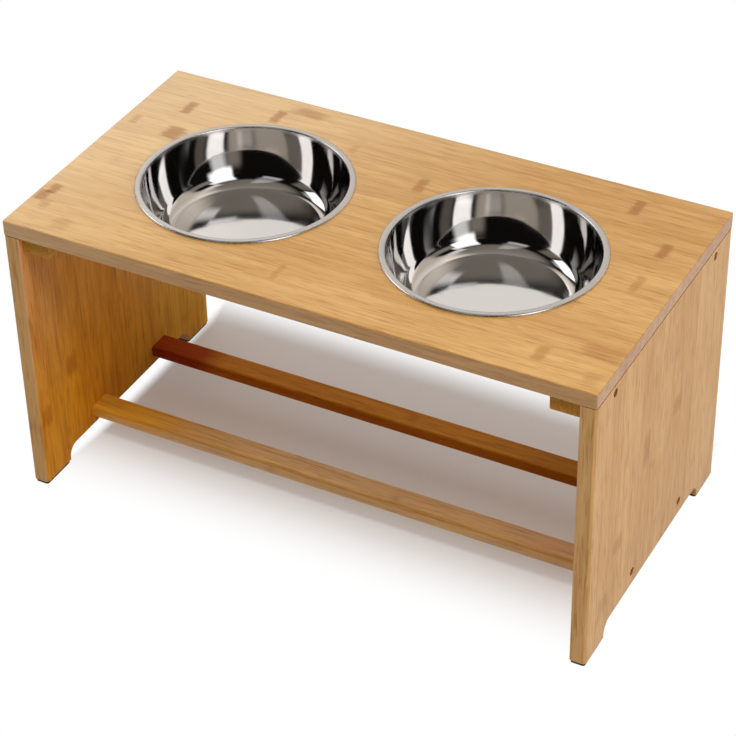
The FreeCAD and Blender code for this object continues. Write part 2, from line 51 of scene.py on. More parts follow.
class Wire:
    """One output of a node tree. Arithmetic on it adds Math nodes to that tree."""

    def __init__(self, tree, socket):
        self.tree = tree
        self.socket = socket

    def node(self, kind, settings, inputs, output=0):
        """Adds a node, its settings before its sockets' values or links, and gives one of its outputs."""
        node = self.tree.nodes.new(kind)
        for name, value in settings.items():
            setattr(node, name, value)
        for name, value in inputs.items():
            if isinstance(value, Wire):
                self.tree.links.new(value.socket, node.inputs[name])
            else:
                node.inputs[name].default_value = value
        return Wire(self.tree, node.outputs[output])

    def math(self, operation, *values):
        return self.node("ShaderNodeMath", {"operation": operation}, dict(enumerate(values)))

    def __add__(self, other):
        return self.math("ADD", self, other)

    def __radd__(self, other):
        return self.math("ADD", other, self)

    def __sub__(self, other):
        return self.math("SUBTRACT", self, other)

    def __rsub__(self, other):
        return self.math("SUBTRACT", other, self)

    def __mul__(self, other):
        return self.math("MULTIPLY", self, other)

    def __rmul__(self, other):
        return self.math("MULTIPLY", other, self)

    def __truediv__(self, other):
        return self.math("DIVIDE", self, other)

    def __rtruediv__(self, other):
        return self.math("DIVIDE", other, self)

    def __abs__(self):
        return self.math("ABSOLUTE", self)

    def floor(self):
        return self.math("FLOOR", self)

    def rest(self):
        """What is left over the whole number below."""
        return self.math("FRACT", self)

    def rise(self, low, high):
        """0 up to low, 1 from high on, with an eased change between. It falls where low is above high."""
        ends = {"Value": self, "From Min": low, "From Max": high}
        return self.node("ShaderNodeMapRange", {"interpolation_type": "SMOOTHSTEP"}, ends)

    def mix(self, first, second, way="MIX"):
        """The first colour where this wire is 0, and where it is 1 the second, or both put together."""
        settings = {"data_type": "RGBA", "blend_type": way}
        return self.node("ShaderNodeMix", settings, {0: self, 6: first, 7: second}, 2)

    def axes(self, names):
        """The parts of a vector along the named axes."""
        return [self.node("ShaderNodeSeparateXYZ", {}, {0: self}, name) for name in names]

    def point(self, x, y, z):
        return self.node("ShaderNodeCombineXYZ", {}, {0: x, 1: y, 2: z})

    def noise(self, x, y, z, detail=2.0):
        """Cloudy noise from 0 to 1 at a point whose units are one cloud across."""
        inputs = {"Vector": self.point(x, y, z), "Scale": 1.0, "Detail": detail}
        return self.node("ShaderNodeTexNoise", {}, inputs)

    def chance(self, x, y):
        """An even random number from 0 to 1 for each pair of whole numbers."""
        inputs = {"Vector": self.point(x, y, 0.0)}
        return self.node("ShaderNodeTexWhiteNoise", {"noise_dimensions": "2D"}, inputs)

    def bump(self, strength, distance):
        """A normal bent as if this wire were the height of the surface."""
        return self.node("ShaderNodeBump", {}, {"Strength": strength, "Distance": distance, "Height": self})


def linear(red, green, blue):
    """A colour given as it looks on screen, 0 to 255, as Blender's own linear values."""
    def open_up(level):
        share = level / 255
        return share / 12.92 if share <= 0.04045 else ((share + 0.055) / 1.055) ** 2.4

    return (open_up(red), open_up(green), open_up(blue), 1.0)


def new_material(name):
    """A material with its Principled shader, and the wire of its Object coordinates."""
    material = bpy.data.materials.new(name)
    material.use_nodes = True
    tree = material.node_tree
    place = Wire(tree, tree.nodes.new("ShaderNodeTexCoord").outputs["Object"])
    return material, tree.nodes["Principled BSDF"], place


def feed(shader, **sockets):
    """Sets or links the sockets of a shader. An underscore in a name stands for a space."""
    for name, value in sockets.items():
        socket = shader.inputs[name.replace("_", " ")]
        if isinstance(value, Wire):
            value.tree.links.new(value.socket, socket)
        else:
            socket.default_value = value


# Each noise in the grain has its clouds to a metre along the grain, and those across and through it
STREAK_CLOUDS = (11, 120)
THREAD_CLOUDS = (20, 400)
FIBRE_CLOUDS = (34, 900)
DASH_CLOUDS = (48, 560)
RAGGED_CLOUDS = (18, 650)
BLOT_CLOUDS = (70, 420)
DRIFT_ALONG, DRIFT_STRIPS, DRIFT_THROUGH = 9, 3.7, 20
DASH_SHOWS = (0.6, 0.74)
RAGGED_REACH = 0.016
BLOT_REACH = 1.1
LUCK_SEED = 3.0


def bamboo_grain(place, axes, strip_width, shift):
    """The strips of a laminated board and the noises of their grain. axes names the directions of the grain,
    across the strips and through the board, and shift is in strips."""
    along, across, through = place.axes(axes)
    strip_place = across / strip_width + shift
    strip = strip_place.floor()

    def drawn_out(clouds, detail, step=0.0):
        """Noise drawn out along the grain, which each strip shows a step further on."""
        lengthwise, crosswise = clouds
        return place.noise(along * lengthwise + strip * step, across * crosswise, through * crosswise, detail)

    return SimpleNamespace(
        along=along, across=across, strip=strip, share=strip_place.rest(),
        luck=place.chance(strip, LUCK_SEED),
        streaks=drawn_out(STREAK_CLOUDS, detail=3.0, step=7.3),
        threads=drawn_out(THREAD_CLOUDS, detail=2.0, step=2.9),
        fibres=drawn_out(FIBRE_CLOUDS, detail=1.0),
        dashes=drawn_out(DASH_CLOUDS, detail=0.0, step=5.1).rise(*DASH_SHOWS),
        drift=place.noise(along * DRIFT_ALONG, strip * DRIFT_STRIPS, through * DRIFT_THROUGH),
        ragged=(drawn_out(RAGGED_CLOUDS, detail=1.0) - 0.5) * RAGGED_REACH,
        blots=(drawn_out(BLOT_CLOUDS, detail=2.0) - 0.5) * BLOT_REACH,
    )


RING_SPACE = 0.24
RING_JITTER = 0.5 * RING_SPACE
RING_SCATTER = 13.7
RING_CORE = (0.004, 0.001)
RING_HALO = (0.011, 0.003)
RING_CHANCE = (0.3, 0.9)
RING_SEED = 31.0
SEAM_MARGIN = 0.07
MARK_ENDS = (1.15, 0.35)
MARK_SIDES = (1.1, 0.7)
MARK_RAGGED = 0.35
MARK_SIDE_BLOT = 0.4


def growth_rings(place, grain, ring_level, marks):
    """How much a growth ring shows. Rings cross each strip at random, and marks are rings at known places:
    along the grain, across it, half length, half width and strength."""
    inside_strip = grain.share.rise(0.0, SEAM_MARGIN) * grain.share.rise(1.0, 1.0 - SEAM_MARGIN)
    ring_place = grain.along / RING_SPACE + grain.luck * RING_SCATTER
    ring = ring_place.floor()
    jitter = (place.chance(grain.strip, ring) - 0.5) * RING_JITTER
    off_ring = abs((ring_place.rest() - 0.5) * RING_SPACE + jitter + grain.ragged)
    strength = place.chance(grain.strip + RING_SEED, ring).rise(*RING_CHANCE) * ring_level
    ring_shape = off_ring.rise(*RING_CORE) * 0.5 + off_ring.rise(*RING_HALO) * 0.5
    rings = ring_shape * strength * inside_strip
    for mark_along, mark_across, half_length, half_width, mark_strength in marks:
        off_along = abs(grain.along - mark_along + grain.ragged * MARK_RAGGED) / half_length + grain.blots
        off_across = abs(grain.across - mark_across) / half_width + grain.blots * MARK_SIDE_BLOT
        rings = rings + off_along.rise(*MARK_ENDS) * off_across.rise(*MARK_SIDES) * mark_strength
    return rings


def graded_tints(colour, place, axis_tints, part=1.0):
    """A colour multiplied by tints, each of which has its axis, where it starts, where it is full and its
    shade.
    On the panels' inside faces and the rear stretcher these tints are painted light and shade.
    """
    for axis, start, full, axis_tint in axis_tints:
        [spot] = place.axes(axis)
        colour = (spot.rise(start, full) * part).mix(colour, (*axis_tint, 1.0), "MULTIPLY")
    return colour


BAMBOO_PALE = linear(204, 160, 95)
BAMBOO_DEEP = linear(182, 132, 68)
BAMBOO_RING = linear(150, 90, 24)
BAMBOO_FIBRE = linear(150, 92, 30)
END_GRAIN_SHADE = linear(234, 217, 200)
# Painted sheen: a near-white lift added to the colour, slanting towards one end of a board
PAINTED_SHEEN_LIFT = (0.21, 0.21, 0.16, 1.0)
PAINTED_SHEEN_SLANT = 0.8
# Painted shade: the unlacquered inside face of a panel is turned a deep orange, the colour of warm light
# bounced inside the stand
RAW_FACE_PAINTED_SHADE = (1.42, 1.02, 0.11, 1.0)
# Painted light and shade on that face: paler towards its top and its back, darker towards its front edge
RAW_FACE_PAINTED_LIGHT = [
    ("Z", 0.06, 0.25, (1.02, 1.14, 5.2)), ("Y", -0.03, 0.09, (1.08, 1.34, 3.6)),
    ("Y", -0.085, -0.12, (0.88, 0.9, 1.4)),
]
STREAK_SHOWS = (0.3, 0.7)
RAW_STREAK_SHOWS = (0.46, 0.68)
THREAD_SHOWS = (0.54, 0.66)
FIBRE_SHOWS = (0.45, 0.75)
SEAM_SHOWS = (0.5, 0.475)
STRIP_TONE, DRIFT_TONE, THREAD_TONE, PALE_TONE = 0.4, 0.4, 0.5, 0.35
THREAD_BROWN, FIBRE_BROWN, DASH_BROWN, SEAM_BROWN, RAW_BROWN = 0.26, 0.14, 0.3, 0.25, 0.22
FIBRE_RELIEF, STREAK_RELIEF, SEAM_RELIEF, RING_RELIEF = 0.5, 0.3, 0.6, 0.4
FACING = (0.6, 0.95)
RAW_FACING = (0.5, 0.95)
LACQUER = 0.35
LACQUER_SHINE = 0.5
LACQUER_ROUGH = 0.32
COAT_ROUGH = 0.3
RAW_SHINE = 0.1
RAW_ROUGHER = 0.25
STREAK_ROUGHER = 0.14


def bamboo(name, axes, strip_width, shift, streak_level, ring_level, lacquer, shine, shade=(1, 1, 1),
           edge_painted_light=None, raw_face_with_painted_shade=0, marks=(), painted_sheen=None, axis_tints=()):
    """Laminated bamboo. shade multiplies its colours. The edge argument multiplies the colours of its long
    edges, as painted light or shade for the way those edges face the lamps. The unlacquered face is the side,
    1 or -1, that was left without lacquer; its colour is painted shade, a deep orange for warm light bounced
    inside the stand, made paler and darker in places as painted light. The sheen argument gives where along
    the grain a painted sheen starts to pale the colour and where it is palest. The other words are those of
    bamboo_grain, growth_rings and the tint function."""
    material, shader, place = new_material(name)
    grain = bamboo_grain(place, axes, strip_width, shift)
    pale, deep, ring_brown, fibre_brown = [
        tuple(level * part for level, part in zip(colour, (*shade, 1.0)))
        for colour in (BAMBOO_PALE, BAMBOO_DEEP, BAMBOO_RING, BAMBOO_FIBRE)
    ]

    tone = (grain.luck * STRIP_TONE + grain.streaks.rise(*STREAK_SHOWS) * streak_level
            + grain.drift * DRIFT_TONE + grain.threads * THREAD_TONE - PALE_TONE)
    colour = tone.mix(pale, deep)
    brown = (grain.threads.rise(*THREAD_SHOWS) * THREAD_BROWN + grain.fibres.rise(*FIBRE_SHOWS) * FIBRE_BROWN
             + grain.dashes * DASH_BROWN)
    colour = brown.mix(colour, fibre_brown)
    # Painted sheen: the colour is lifted paler towards one end
    if painted_sheen:
        colour = (grain.along - grain.across * PAINTED_SHEEN_SLANT).rise(*painted_sheen).mix(colour, PAINTED_SHEEN_LIFT, "ADD")
    rings = growth_rings(place, grain, ring_level, marks)
    colour = rings.mix(colour, ring_brown)
    seams = 1 - abs(grain.share - 0.5).rise(*SEAM_SHOWS)
    colour = (seams * SEAM_BROWN).mix(colour, fibre_brown)

    normal = place.node("ShaderNodeNewGeometry", {}, {}, "Normal")
    facing_along, facing_across, facing_through = normal.axes(axes)
    colour = abs(facing_along).rise(*FACING).mix(colour, END_GRAIN_SHADE, "MULTIPLY")
    # Painted light or shade: the faces that look across the strips are made lighter or darker for how they
    # face the lamps
    if edge_painted_light:
        colour = abs(facing_across).rise(*FACING).mix(colour, (*edge_painted_light, 1.0), "MULTIPLY")
    # Tints along an axis: on the rear stretcher they are painted shade
    colour = graded_tints(colour, place, axis_tints)
    roughness = (LACQUER_ROUGH if lacquer else LACQUER_ROUGH + RAW_ROUGHER) + grain.streaks * STREAK_ROUGHER
    coat = lacquer
    # The unlacquered inside face: no coat and rougher, and its colour is painted shade and light
    if raw_face_with_painted_shade:
        raw_and_painted_shade = (facing_through * raw_face_with_painted_shade).rise(*RAW_FACING)
        colour = (grain.streaks.rise(*RAW_STREAK_SHOWS) * raw_and_painted_shade * RAW_BROWN).mix(colour, ring_brown)
        colour = graded_tints(raw_and_painted_shade.mix(colour, RAW_FACE_PAINTED_SHADE, "MULTIPLY"), place, RAW_FACE_PAINTED_LIGHT, raw_and_painted_shade)
        roughness = roughness + raw_and_painted_shade * RAW_ROUGHER
        coat = (1 - raw_and_painted_shade) * lacquer

    relief = (grain.fibres * FIBRE_RELIEF + grain.streaks * STREAK_RELIEF - seams * SEAM_RELIEF
              - rings * RING_RELIEF)
    feed(shader, Base_Color=colour, Roughness=roughness, Normal=relief.bump(strength=0.35, distance=0.0004),
         Coat_Weight=coat, Coat_Roughness=COAT_ROUGH, Specular_IOR_Level=shine)
    return material


def dress(name, material):
    """Gives a CAD node that keeps its own shape a better material."""
    for slot in nodes[name].material_slots:
        slot.material = material


SIDES = ("left", "right")
PANEL_STRIP = 0.021
PANEL_LACQUER = 0.05
PANEL_SHINE = 0.12
# Partly the panels' own tone and partly painted sheen: their colours are made paler and bluer in place of the
# shine they lack
PANEL_TONE_AND_PAINTED_SHEEN = (1.09, 1.09, 1.26)
# Painted light: the panels' upright edges are made paler
PANEL_EDGE_PAINTED_LIGHT = (1.12, 1.14, 1.16)
PANEL_MARKS = {
    "left": [(0.107, -0.093, 0.014, 0.010, 0.55), (0.077, -0.140, 0.013, 0.009, 0.5)],
    "right": [(0.161, 0.040, 0.012, 0.010, 0.45), (0.160, -0.031, 0.020, 0.008, 0.5),
              (0.095, -0.089, 0.010, 0.012, 0.4), (0.048, -0.116, 0.010, 0.011, 0.35)],
}
# Each panel's inside face is left unlacquered, and its colour there is painted shade
for side, shift, inner_face in (("left", 40.3, 1), ("right", 51.3, -1)):
    dress(f"{side}_side_panel", bamboo(
        f"{side}_panel_bamboo", "ZYX", PANEL_STRIP, shift, streak_level=0.3, ring_level=0.2,
        lacquer=PANEL_LACQUER, shine=PANEL_SHINE, shade=PANEL_TONE_AND_PAINTED_SHEEN, edge_painted_light=PANEL_EDGE_PAINTED_LIGHT,
        raw_face_with_painted_shade=inner_face, marks=PANEL_MARKS[side],
    ))


# Foot pads
# A thin black rubber strip under each foot, die-cut with rounded corners and stuck on.
# Its moulded face is matt and slightly pitted, and picks up pale dust.

PAD_RUBBER = linear(38, 36, 35)
PAD_DUST = linear(84, 80, 76)
PAD_ROUGH = 0.75
PIT_CLOUDS = 1800
PIT_ROUGHER = 0.2
DUST_CLOUDS = 90
DUST_SHOWS = (0.45, 0.75)
DUST_COVER = 0.5


def rubber(name):
    material, shader, place = new_material(name)
    x, y, z = place.axes("XYZ")
    pits = place.noise(x * PIT_CLOUDS, y * PIT_CLOUDS, z * PIT_CLOUDS, detail=1.0)
    dust = place.noise(x * DUST_CLOUDS, y * DUST_CLOUDS, z * DUST_CLOUDS, detail=3.0).rise(*DUST_SHOWS)
    colour = (dust * DUST_COVER).mix(PAD_RUBBER, PAD_DUST)
    feed(shader, Base_Color=colour, Roughness=PAD_ROUGH + pits * PIT_ROUGHER,
         Normal=pits.bump(strength=0.5, distance=0.0002))
    return material


pad_finish = rubber("pad_rubber_pitted")
for side in SIDES:
    for end in ("front", "rear"):
        dress(f"{end}_{side}_foot_pad", pad_finish)


# Stretchers
# Two flat bamboo slats that tie the panels together near the floor, sawn from one or two strips each.
# Their long edges are rounded over, and each end is held by one screw and one dowel.

STRETCHER_STRIP = 0.013
# Painted light: the front stretcher's colours are made about half as bright again, to make up for the board's
# shadow on it
FRONT_PAINTED_LIGHT = (1.5, 1.48, 1.33)
# The front stretcher is made more orange towards its left end and darker towards its right end
FRONT_END_TINTS = [("X", -0.15, -0.22, (1.06, 0.95, 0.3)), ("X", 0.12, 0.24, (0.84, 0.8, 0.82))]
# Painted shade: the rear stretcher's colours are made a deep saturated orange, as if in shade
REAR_PAINTED_SHADE = (1.38, 1.0, 0.28)
# Painted shade: the rear stretcher's front and back faces are made darker and redder
REAR_EDGE_PAINTED_SHADE = (0.9, 0.65, 0.4)
# Painted shade: the rear stretcher darkens to maroon at its left end and darkens towards its right end
REAR_END_PAINTED_SHADE = [("X", -0.19, -0.225, (0.6, 0.25, 0.3)), ("X", 0.05, 0.2, (0.7, 0.72, 0.4))]
dress("front_stretcher", bamboo(
    "front_stretcher_bamboo", "XYZ", STRETCHER_STRIP, shift=60.2, streak_level=0.4, ring_level=0.4,
    lacquer=LACQUER, shine=LACQUER_SHINE, shade=FRONT_PAINTED_LIGHT, axis_tints=FRONT_END_TINTS,
))
dress("rear_stretcher", bamboo(
    "rear_stretcher_bamboo", "XYZ", STRETCHER_STRIP, shift=69.2, streak_level=0.4, ring_level=0.4,
    lacquer=0, shine=RAW_SHINE, shade=REAR_PAINTED_SHADE, edge_painted_light=REAR_EDGE_PAINTED_SHADE, axis_tints=REAR_END_PAINTED_SHADE,
))


# Stretcher dowels
# A short fluted beech dowel beside the single screw at each end of a stretcher keeps the slat from turning.
# Glued into blind holes in the panel and the slat, so it is hidden once the stand is together.

DOWEL_FLUTES = 12
DOWEL_FLUTE_DEPTH = 0.0003
DOWEL_CHAMFER = 0.0012
DOWEL_CHAMFER_SLOPE = 0.5
DOWEL_STEPS = 40
DOWELS_A_SIDE = 2
BEECH_PALE = linear(222, 190, 148)
BEECH_DEEP = linear(196, 156, 110)
BEECH_CLOUDS = (60, 900)
BEECH_ROUGH = 0.6
BEECH_ROUGHER = 0.2
SHARP_EDGE = math.radians(30)
ROW_INPUTS = {"Count": "Int", "First": "Vector", "Step": "Vector", "Turn": "Vector", "Finish": "Material"}


def new_tree(name, sizes):
    """An empty Geometry Nodes tree with named inputs, and the wires of those inputs."""
    tree = bpy.data.node_groups.new(name, "GeometryNodeTree")
    for size, kind in sizes.items():
        tree.interface.new_socket(size, in_out="INPUT", socket_type=f"NodeSocket{kind}")
    tree.interface.new_socket("Geometry", in_out="OUTPUT", socket_type="NodeSocketGeometry")
    given = tree.nodes.new("NodeGroupInput")
    return tree, {size: Wire(tree, given.outputs[size]) for size in sizes}


def close_row(tree, single, given):
    """Repeats a single piece along a row of points, turns it, and ends the tree with plain faces."""
    steps = {"Count": given["Count"], "Start Location": given["First"], "Offset": given["Step"]}
    row = single.node("GeometryNodeMeshLine", {"mode": "OFFSET"}, steps)
    copies = row.node("GeometryNodeInstanceOnPoints", {},
                      {"Points": row, "Instance": single, "Rotation": given["Turn"]})
    plain = copies.node("GeometryNodeRealizeInstances", {}, {0: copies})
    painted = plain.node("GeometryNodeSetMaterial", {}, {"Geometry": plain, "Material": given["Finish"]})
    result = tree.nodes.new("NodeGroupOutput")
    tree.links.new(painted.socket, result.inputs["Geometry"])


def dowel_tree():
    """A row of dowels, each from its own origin along Z."""
    tree, given = new_tree("dowel row", {
        **ROW_INPUTS, "Radius": "Float", "Length": "Float", "Chamfer": "Float",
        "Flutes": "Int", "Flute Depth": "Float",
    })
    length = given["Length"]
    radius = given["Radius"]
    axis = length.node("GeometryNodeCurvePrimitiveLine", {}, {"End": length.point(0.0, 0.0, length)})
    axis = axis.node("GeometryNodeResampleCurve", {}, {"Curve": axis, "Count": DOWEL_STEPS})
    parameter = length.node("GeometryNodeSplineParameter", {}, {}, "Length")
    near_end = length.math("MINIMUM", parameter, length - parameter)
    into_chamfer = given["Chamfer"] - near_end
    narrow = 1 - length.math("MAXIMUM", into_chamfer, 0.0) / radius * DOWEL_CHAMFER_SLOPE
    axis = axis.node("GeometryNodeSetCurveRadius", {}, {"Curve": axis, "Radius": narrow})
    section = axis.node("GeometryNodeCurveStar", {}, {
        "Points": given["Flutes"], "Inner Radius": radius - given["Flute Depth"], "Outer Radius": radius,
    })
    single = axis.node("GeometryNodeCurveToMesh", {}, {
        "Curve": axis, "Profile Curve": section, "Fill Caps": True,
    })
    close_row(tree, single, given)
    return tree


def lay_row(node, word, tree, sizes):
    """Runs a tree once, keeps its result as a plain mesh, and puts it in place of a CAD node."""
    piece = bpy.data.objects.new(f"{node}_{word}", bpy.data.meshes.new(f"{node}_{word}"))
    bpy.context.scene.collection.objects.link(piece)
    modifier = piece.modifiers.new("row", "NODES")
    modifier.node_group = tree
    for socket in tree.interface.items_tree:
        if socket.in_out == "INPUT":
            modifier[socket.identifier] = sizes[socket.name]
    shown = piece.evaluated_get(bpy.context.evaluated_depsgraph_get())
    mesh = bpy.data.meshes.new_from_object(shown)
    piece.modifiers.remove(modifier)
    piece.data = mesh
    for face in mesh.polygons:
        face.use_smooth = True
    mesh.set_sharp_from_angle(angle=SHARP_EDGE)
    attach(piece, "stand")
    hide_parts(node)
    return piece


def beech(name):
    material, shader, place = new_material(name)
    x, y, z = place.axes("XYZ")
    lengthwise, crosswise = BEECH_CLOUDS
    grain = place.noise(x * lengthwise, y * crosswise, z * crosswise)
    feed(shader, Base_Color=grain.mix(BEECH_PALE, BEECH_DEEP), Roughness=BEECH_ROUGH + grain * BEECH_ROUGHER,
         Normal=grain.bump(strength=0.3, distance=0.0002))
    return material


dowel_rows = dowel_tree()
dowel_finish = beech("dowel_beech")
for side in SIDES:
    low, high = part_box(f"{side}_stretcher_dowels")
    dowel_radius = (high.z - low.z) / 2
    row = lay_row(f"{side}_stretcher_dowels", "fluted", dowel_rows, {
        "Count": DOWELS_A_SIDE, "First": (low.x, low.y + dowel_radius, low.z + dowel_radius),
        "Step": (0.0, high.y - low.y - 2 * dowel_radius, 0.0), "Turn": (0.0, math.pi / 2, 0.0),
        "Finish": dowel_finish, "Radius": dowel_radius, "Length": high.x - low.x,
        "Chamfer": DOWEL_CHAMFER, "Flutes": DOWEL_FLUTES, "Flute Depth": DOWEL_FLUTE_DEPTH,
    })


# Cleats
# A bamboo batten along the top of each panel's inside face, which the board is screwed down to.
# Cut from offcuts of the same board, so its grain runs front to back, and its lower edges are eased.

CLEAT_STRIP = 0.028
CLEAT_SHADE = (1.38, 1.4, 0.78)
for side, shift in (("left", 80.5), ("right", 87.5)):
    dress(f"{side}_cleat", bamboo(
        f"{side}_cleat_bamboo", "YXZ", CLEAT_STRIP, shift, streak_level=0.4, ring_level=0.4,
        lacquer=0, shine=RAW_SHINE, shade=CLEAT_SHADE,
    ))


# Panel screws
# Yellow zinc-plated wood screws with a hexagon socket, driven from outside through the panels.
# Two on each side go into the cleat and one into each stretcher, and their heads sit below the surface.

SCREW_ZINC = linear(206, 172, 116)
SCREW_DULL = linear(150, 112, 66)
SCREW_ROUGH = 0.45
DULL_CLOUDS = 700
DULL_SHOWS = (0.4, 0.7)
DULL_ROUGHER = 0.2
PANEL_SCREW = {"Head Radius": 0.004, "Head Height": 0.003, "Shank Radius": 0.0025, "Point": 0.005,
               "Socket Radius": 0.0023, "Socket Depth": 0.0018, "Pitch": 0.0018}
PANEL_SCREW_COUNT = 2
HEAD_SIDES = 40
ROD_SIDES = 24
SOCKET_SIDES = 6
RIDGE_SIDES = 4
THREAD_SHARE = 0.22
THREADED_SHARE = 0.75
THREAD_START_SHARE = 0.24
STEPS_A_TURN = 16


def screw_tree():
    """A row of screws, each with its seat at its own origin, its head below and its point up along Z."""
    tree, given = new_tree("screw row", {
        **ROW_INPUTS, **{size: "Float" for size in PANEL_SCREW}, "Length": "Float",
    })
    head_height = given["Head Height"]
    shank = given["Length"] - given["Point"]
    core = given["Shank Radius"] * (1 - THREAD_SHARE)

    def lifted(body, height):
        return body.node("GeometryNodeTransform", {},
                         {"Geometry": body, "Translation": body.point(0.0, 0.0, height)})

    def barrel(vertices, radius, depth, middle):
        body = head_height.node("GeometryNodeMeshCylinder", {},
                                {"Vertices": vertices, "Radius": radius, "Depth": depth})
        return lifted(body, middle)

    head = barrel(HEAD_SIDES, given["Head Radius"], head_height, head_height * -0.5)
    socket = barrel(SOCKET_SIDES, given["Socket Radius"], given["Socket Depth"] * 2, head_height * -1)
    head = head.node("GeometryNodeMeshBoolean", {"operation": "DIFFERENCE"},
                     {"Mesh 1": head, "Mesh 2": socket})
    rod = barrel(ROD_SIDES, core, shank, shank * 0.5)
    tip = lifted(rod.node("GeometryNodeMeshCone", {}, {
        "Vertices": ROD_SIDES, "Radius Top": 0.0, "Radius Bottom": core, "Depth": given["Point"],
    }), shank)

    threaded = shank * THREADED_SHARE
    helix = rod.node("GeometryNodeCurveSpiral", {}, {
        "Resolution": STEPS_A_TURN, "Rotations": threaded / given["Pitch"],
        "Start Radius": core, "End Radius": core, "Height": threaded,
    })
    ridge = rod.node("GeometryNodeCurvePrimitiveCircle", {}, {
        "Resolution": RIDGE_SIDES, "Radius": given["Shank Radius"] * THREAD_SHARE,
    })
    thread = lifted(helix.node("GeometryNodeCurveToMesh", {}, {
        "Curve": helix, "Profile Curve": ridge, "Fill Caps": True,
    }), shank * THREAD_START_SHARE)
    join = tree.nodes.new("GeometryNodeJoinGeometry")
    for piece in (head, rod, tip, thread):
        tree.links.new(piece.socket, join.inputs[0])
    close_row(tree, Wire(tree, join.outputs[0]), given)
    return tree


def plated_steel(name):
    material, shader, place = new_material(name)
    x, y, z = place.axes("XYZ")
    dull = place.noise(x * DULL_CLOUDS, y * DULL_CLOUDS, z * DULL_CLOUDS, detail=3.0).rise(*DULL_SHOWS)
    feed(shader, Base_Color=dull.mix(SCREW_ZINC, SCREW_DULL), Metallic=1.0,
         Roughness=SCREW_ROUGH + dull * DULL_ROUGHER)
    return material


screw_rows = screw_tree()
screw_finish = plated_steel("screw_zinc")
for side, inward in (("left", 1), ("right", -1)):
    for joined in ("cleat", "stretcher"):
        node = f"{side}_panel_{joined}_screws"
        low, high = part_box(node)
        head_radius = PANEL_SCREW["Head Radius"]
        head_face_x = low.x if inward > 0 else high.x
        seat_x = head_face_x + inward * PANEL_SCREW["Head Height"]
        row = lay_row(node, "threaded", screw_rows, {
            **PANEL_SCREW, "Count": PANEL_SCREW_COUNT,
            "First": (seat_x, low.y + head_radius, low.z + head_radius),
            "Step": (0.0, high.y - low.y - 2 * head_radius, 0.0), "Turn": (0.0, inward * math.pi / 2, 0.0),
            "Finish": screw_finish, "Length": high.x - low.x - PANEL_SCREW["Head Height"],
        })


# Top board
# One laminated bamboo board across both panels, strips along its length, with two round holes for the bowls.
# It lies flat on the panels and cleats, screwed from below, so its face shows only grain and growth rings.
# Its left and back end is made paler by a painted sheen.

BOARD_STRIP = 0.0195
BOARD_MARKS = [
    (-0.241, 0.093, 0.006, 0.012, 0.6), (-0.231, 0.047, 0.012, 0.012, 0.6),
    (-0.281, -0.099, 0.007, 0.009, 0.6), (-0.277, -0.085, 0.006, 0.009, 0.6),
    (-0.277, 0.052, 0.005, 0.009, 0.3), (-0.239, -0.132, 0.011, 0.010, 0.25),
    (-0.271, -0.109, 0.006, 0.008, 0.3), (-0.157, 0.116, 0.006, 0.013, 0.6),
    (-0.132, 0.134, 0.022, 0.008, 0.45), (-0.064, 0.096, 0.005, 0.008, 0.25),
    (-0.046, 0.019, 0.004, 0.010, 0.2), (-0.028, -0.112, 0.004, 0.014, 0.35),
    (0.020, 0.067, 0.006, 0.013, 0.6), (0.211, 0.119, 0.006, 0.013, 0.7),
    (0.259, 0.065, 0.006, 0.013, 0.7), (0.257, 0.008, 0.005, 0.014, 0.4),
    (0.219, -0.044, 0.004, 0.010, 0.2), (0.225, -0.119, 0.007, 0.012, 0.5),
    (0.272, -0.097, 0.026, 0.010, 0.45), (0.277, -0.133, 0.009, 0.009, 0.25),
]
# The board's left and back end is lifted paler: a painted sheen
BOARD_PAINTED_SHEEN = (0.05, -0.37)
# Painted shade: the board's front and back edges are made darker
BOARD_EDGE_PAINTED_SHADE = (0.93, 0.85, 0.76)
dress("top_board", bamboo(
    "board_bamboo", "XYZ", BOARD_STRIP, shift=20.4, streak_level=0.55, ring_level=0.12,
    lacquer=LACQUER, shine=LACQUER_SHINE, edge_painted_light=BOARD_EDGE_PAINTED_SHADE, marks=BOARD_MARKS, painted_sheen=BOARD_PAINTED_SHEEN,
))


# Board screws
# Three smaller screws of the same kind on each side go up through the cleat into the board from below.
# Their heads are sunk into the cleat's underside.

BOARD_SCREW = {"Head Radius": 0.0035, "Head Height": 0.0024, "Shank Radius": 0.002, "Point": 0.004,
               "Socket Radius": 0.0018, "Socket Depth": 0.0014, "Pitch": 0.0015}
BOARD_SCREW_COUNT = 3
for side in SIDES:
    node = f"{side}_cleat_board_screws"
    low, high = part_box(node)
    head_radius = BOARD_SCREW["Head Radius"]
    spread = high.y - low.y - 2 * head_radius
    row = lay_row(node, "threaded", screw_rows, {
        **BOARD_SCREW, "Count": BOARD_SCREW_COUNT,
        "First": (low.x + head_radius, low.y + head_radius, low.z + BOARD_SCREW["Head Height"]),
        "Step": (0.0, spread / (BOARD_SCREW_COUNT - 1), 0.0), "Turn": (0.0, 0.0, 0.0),
        "Finish": screw_finish, "Length": high.z - low.z - BOARD_SCREW["Head Height"],
    })


# Bowls
# Two round bowls pressed from one stainless sheet, polished bright inside, each hanging by its rolled rim.
# The wall curves inwards on its way down to a rounded corner, and the floor is flat.

